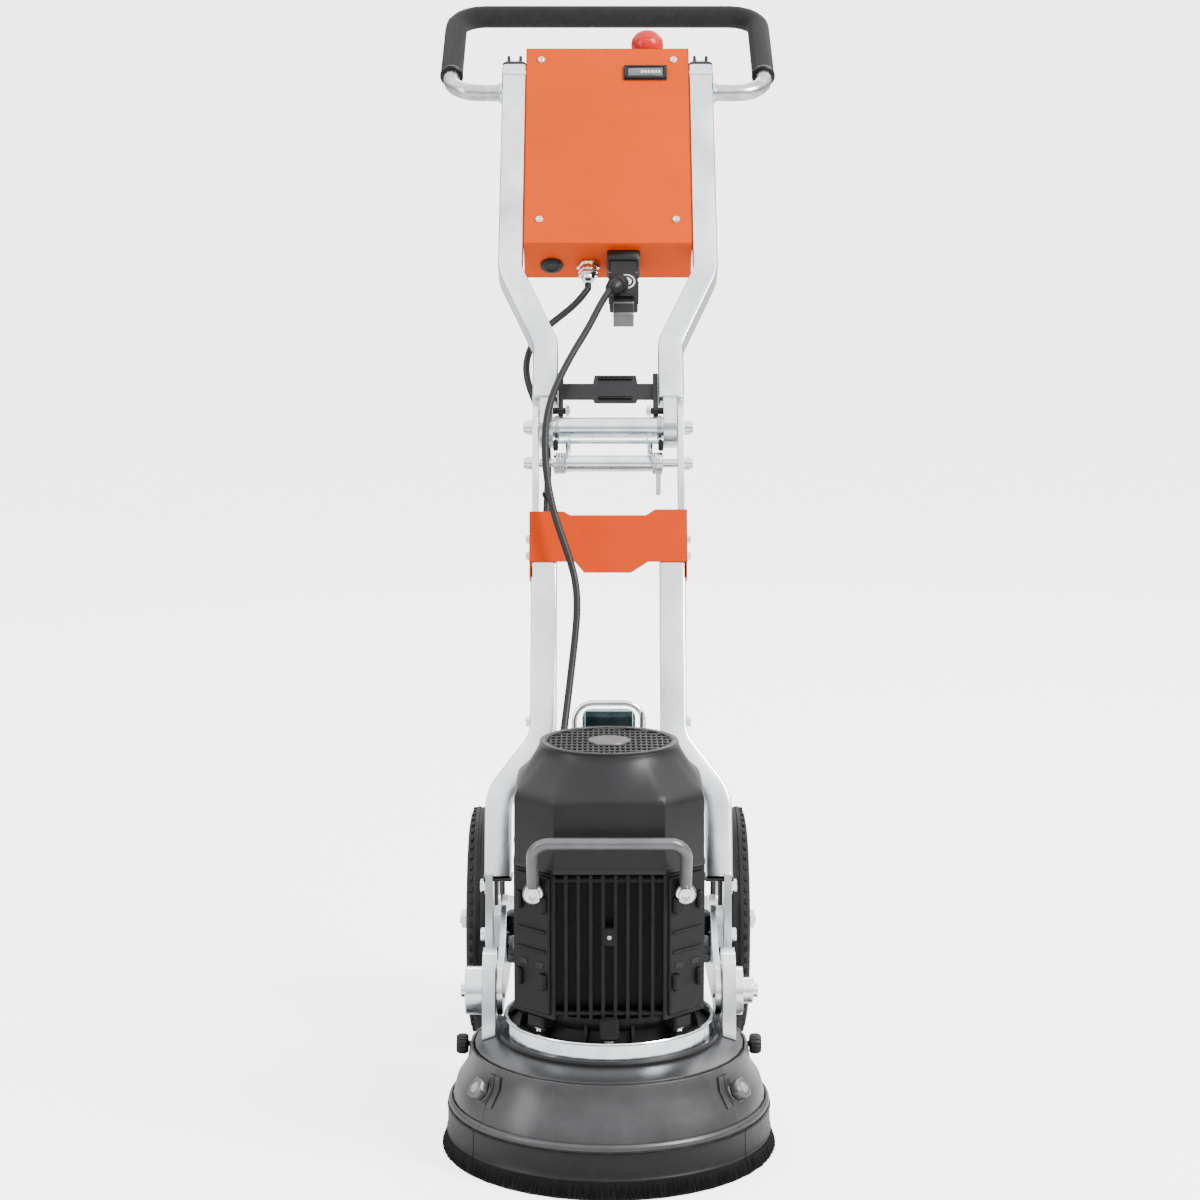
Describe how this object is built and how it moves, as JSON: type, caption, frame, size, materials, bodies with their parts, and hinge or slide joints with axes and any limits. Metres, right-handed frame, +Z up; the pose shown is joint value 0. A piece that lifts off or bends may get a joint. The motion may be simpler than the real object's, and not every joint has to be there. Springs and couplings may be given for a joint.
{
  "type": "concrete floor grinder",
  "caption": "Walk-behind single-disc floor grinder with a brush-skirted hood, upright motor, rear wheels, folding handle frame and control box.",
  "frame": {"origin": "middle of the footprint, on the floor", "axes": "+Z up, +X to the viewer's right when facing the motor, +Y from the disc towards the operator"},
  "size_m": [0.429, 1.1224, 1.2464],
  "materials": {
    "hood_grey": "satin metallic paint",
    "bristle": "nylon bristles in a rail",
    "zinc": "bright zinc plate",
    "motor_grey": "painted casting",
    "windings": "enamelled copper",
    "steel": "ground",
    "cowl_plastic": "semi gloss",
    "satin_tube": "satin tube",
    "black_plastic": "moulded",
    "tyre": "moulded rubber",
    "orange_paint": "powder coat",
    "black_paint": "powder coat",
    "chrome": "polished",
    "contactor_grey": "moulded",
    "red_plastic": "gloss",
    "green_plastic": "gloss",
    "foam": "closed-cell foam",
    "cable": "matt sheath"
  },
  "bodies": {
    "head": {"hood": "hood_grey", "rear_skirt": "hood_grey", "rear_brush_strip": "bristle", "band_ring": "zinc", "dust_port": "hood_grey", "motor_flange": "motor_grey", "motor_housing": "motor_grey", "stator": "windings", "lower_bearing": "steel", "upper_bearing": "steel", "terminal_box": "motor_grey", "fan_cowl": "cowl_plastic", "front_handle": "satin_tube", "lifting_handle": "zinc", "head_bracket_left": "zinc", "head_bracket_right": "zinc"},
    "rotor": {"rotor_shaft": "steel", "cooling_fan": "black_plastic", "tool_holder": "steel", "grinding_disc": "steel"},
    "front_skirt": {"front_skirt": "hood_grey", "front_brush_strip": "bristle"},
    "release_pin_left": {"release_pin_left": "steel"},
    "release_pin_right": {"release_pin_right": "steel"},
    "side_knob_left": {"side_knob_left": "black_plastic"},
    "side_knob_right": {"side_knob_right": "black_plastic"},
    "chassis": {"pivot_pin_left": "zinc", "pivot_pin_right": "zinc", "chassis_plate_left": "zinc", "chassis_plate_right": "zinc", "axle": "zinc", "cross_member": "zinc", "lower_tube_left": "zinc", "lower_tube_right": "zinc", "frame_cover": "orange_paint", "torsion_spring_left": "steel", "torsion_spring_right": "steel", "motor_lead_lower": "cable"},
    "wheel_left": {"tyre_left": "tyre", "rim_left": "zinc"},
    "wheel_right": {"tyre_right": "tyre", "rim_right": "zinc"},
    "lock_bar": {"lock_bar": "zinc"},
    "upper_frame": {"upper_tube_left": "zinc", "upper_tube_right": "zinc", "fold_shaft": "zinc", "control_box": "orange_paint", "box_cover": "orange_paint", "hour_meter": "black_plastic", "cable_connector": "black_plastic", "cable_gland": "chrome", "contactor": "contactor_grey", "motor_lead_upper": "cable", "supply_lead": "cable"},
    "release_lever": {"release_lever": "black_paint"},
    "emergency_stop": {"emergency_stop": "red_plastic"},
    "start_button": {"start_button": "green_plastic"},
    "handlebar": {"handlebar": "satin_tube", "handle_grip": "foam"}
  },
  "joints": [
    {"name": "disc_spin", "type": "hinge", "parent": "head", "child": "rotor", "pos_m": [0, -0.38323, 0.03], "axis": [0, 0, 1], "continuous": true},
    {"name": "front_skirt_slide", "type": "slide", "parent": "head", "child": "front_skirt", "axis": [0, -1, 0], "range_m": [0, 0.06]},
    {"name": "release_pin_left_pull", "type": "slide", "parent": "head", "child": "release_pin_left", "axis": [-0.7073, -0.4506, 0.5446], "range_m": [0, 0.008], "stiffness_N_per_m": 800},
    {"name": "release_pin_right_pull", "type": "slide", "parent": "head", "child": "release_pin_right", "axis": [0.7073, -0.4506, 0.5446], "range_m": [0, 0.008], "stiffness_N_per_m": 800},
    {"name": "side_knob_left_turn", "type": "hinge", "parent": "head", "child": "side_knob_left", "pos_m": [-0.145, -0.36323, 0.1025], "axis": [-1, 0, 0], "continuous": true},
    {"name": "side_knob_right_turn", "type": "hinge", "parent": "head", "child": "side_knob_right", "pos_m": [0.145, -0.36323, 0.1025], "axis": [1, 0, 0], "continuous": true},
    {"name": "head_tilt", "type": "hinge", "parent": "head", "child": "chassis", "pos_m": [0, -0.35323, 0.159], "axis": [1, 0, 0], "range_deg": [-3, 6], "deforming": ["motor_lead_lower"]},
    {"name": "wheel_left_spin", "type": "hinge", "parent": "chassis", "child": "wheel_left", "pos_m": [-0.1475, 0.02277, 0.135], "axis": [1, 0, 0], "continuous": true},
    {"name": "wheel_right_spin", "type": "hinge", "parent": "chassis", "child": "wheel_right", "pos_m": [0.1475, 0.02277, 0.135], "axis": [1, 0, 0], "continuous": true},
    {"name": "handle_fold", "type": "hinge", "parent": "chassis", "child": "upper_frame", "pos_m": [0, 0.01077, 0.733], "axis": [1, 0, 0], "range_deg": [0, 130], "deforming": ["motor_lead_upper", "supply_lead"]},
    {"name": "release_lever_press", "type": "hinge", "parent": "upper_frame", "child": "release_lever", "pos_m": [0, 0.02619, 0.75139], "axis": [-1, 0, 0], "range_deg": [0, 20], "stiffness_Nm_per_rad": 2},
    {"name": "lock_bar_slide", "type": "slide", "parent": "chassis", "child": "lock_bar", "axis": [0, -0.3778, -0.9259], "range_m": [0, 0.008], "deforming": ["torsion_spring_left", "torsion_spring_right"]},
    {"name": "handlebar_tilt", "type": "hinge", "parent": "upper_frame", "child": "handlebar", "pos_m": [0, 0.3418, 1.12751], "axis": [1, 0, 0], "range_deg": [-30, 30]},
    {"name": "emergency_stop_press", "type": "slide", "parent": "upper_frame", "child": "emergency_stop", "axis": [0, -0.6428, -0.766], "range_m": [0, 0.005], "stiffness_N_per_m": 1500},
    {"name": "start_button_press", "type": "slide", "parent": "upper_frame", "child": "start_button", "axis": [0, -0.766, 0.6428], "range_m": [0, 0.004], "stiffness_N_per_m": 1200}
  ],
  "couplings": [
    {"joint": "lock_bar_slide", "follows": "release_lever_press", "m_per_rad": 0.0229}
  ]
}
